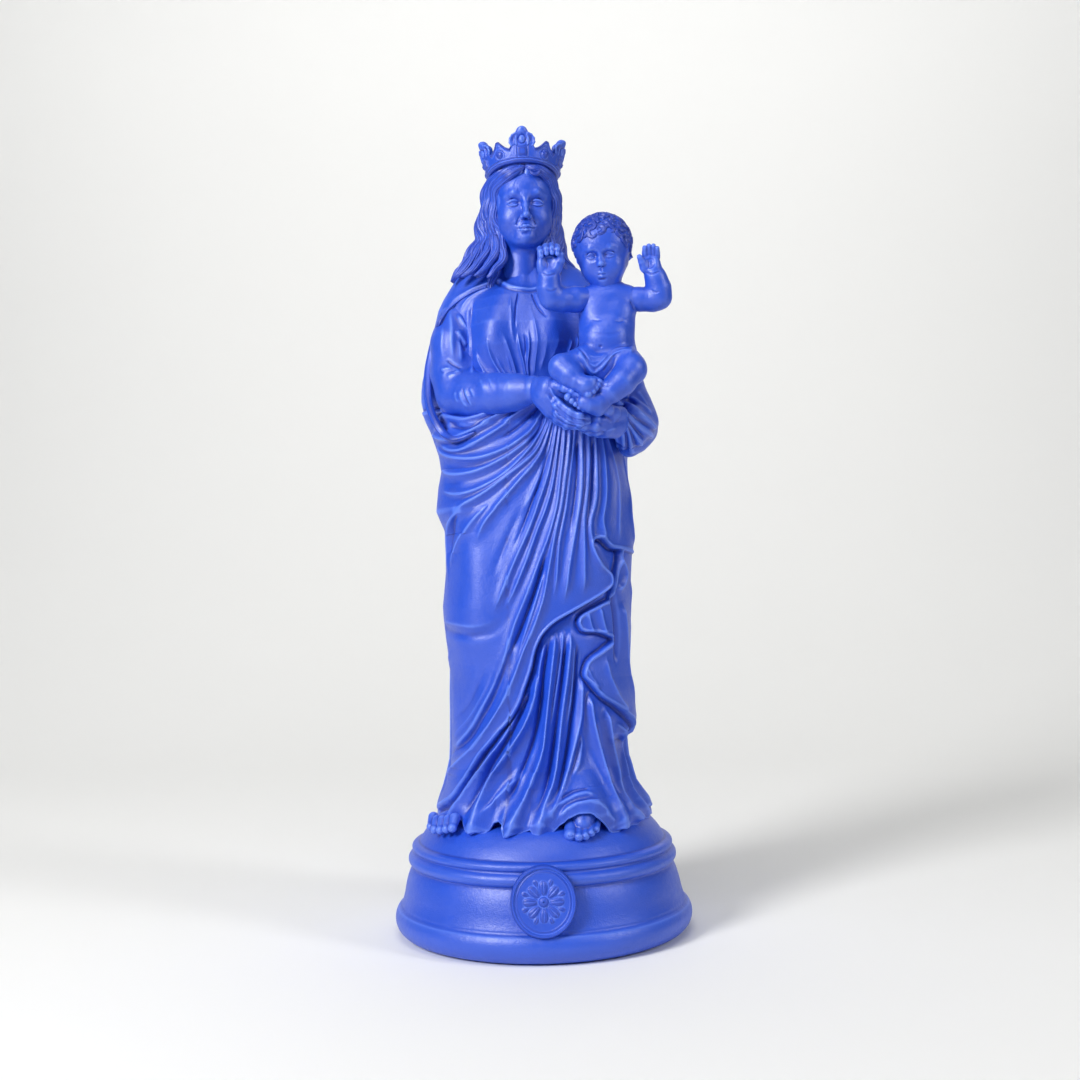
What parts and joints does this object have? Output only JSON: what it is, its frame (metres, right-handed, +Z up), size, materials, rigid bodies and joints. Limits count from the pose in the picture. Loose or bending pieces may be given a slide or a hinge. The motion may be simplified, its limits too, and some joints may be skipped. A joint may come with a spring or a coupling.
{
  "type": "madonna statue",
  "caption": "Crowned standing mother holding a child with raised hands, draped gown and mantle, on a round moulded plinth with an oval rosette plaque.",
  "frame": {"origin": "centre of the felt's underside, where the statue stands", "axes": "+Z up along the figure, -Y to the front with the plaque, +X to the mother's left where the child sits"},
  "size_m": [0.149, 0.1496, 0.3993],
  "materials": {
    "blue_resin": "satin, very fine cast grain",
    "board": "raw hardboard",
    "felt": "needled felt",
    "steel": "drawn"
  },
  "bodies": {
    "root": {"plinth": "blue_resin", "closing_disc": "board", "felt_pad": "felt", "medallion": "blue_resin", "figure_dowels": "steel", "mother_body": "blue_resin", "right_hand": "blue_resin", "left_hand": "blue_resin", "mother_head": "blue_resin", "neck_pin": "steel", "crown": "blue_resin", "child_body": "blue_resin", "child_head": "blue_resin", "child_right_arm": "blue_resin", "child_left_arm": "blue_resin", "child_pins": "steel"}
  },
  "joints": []
}
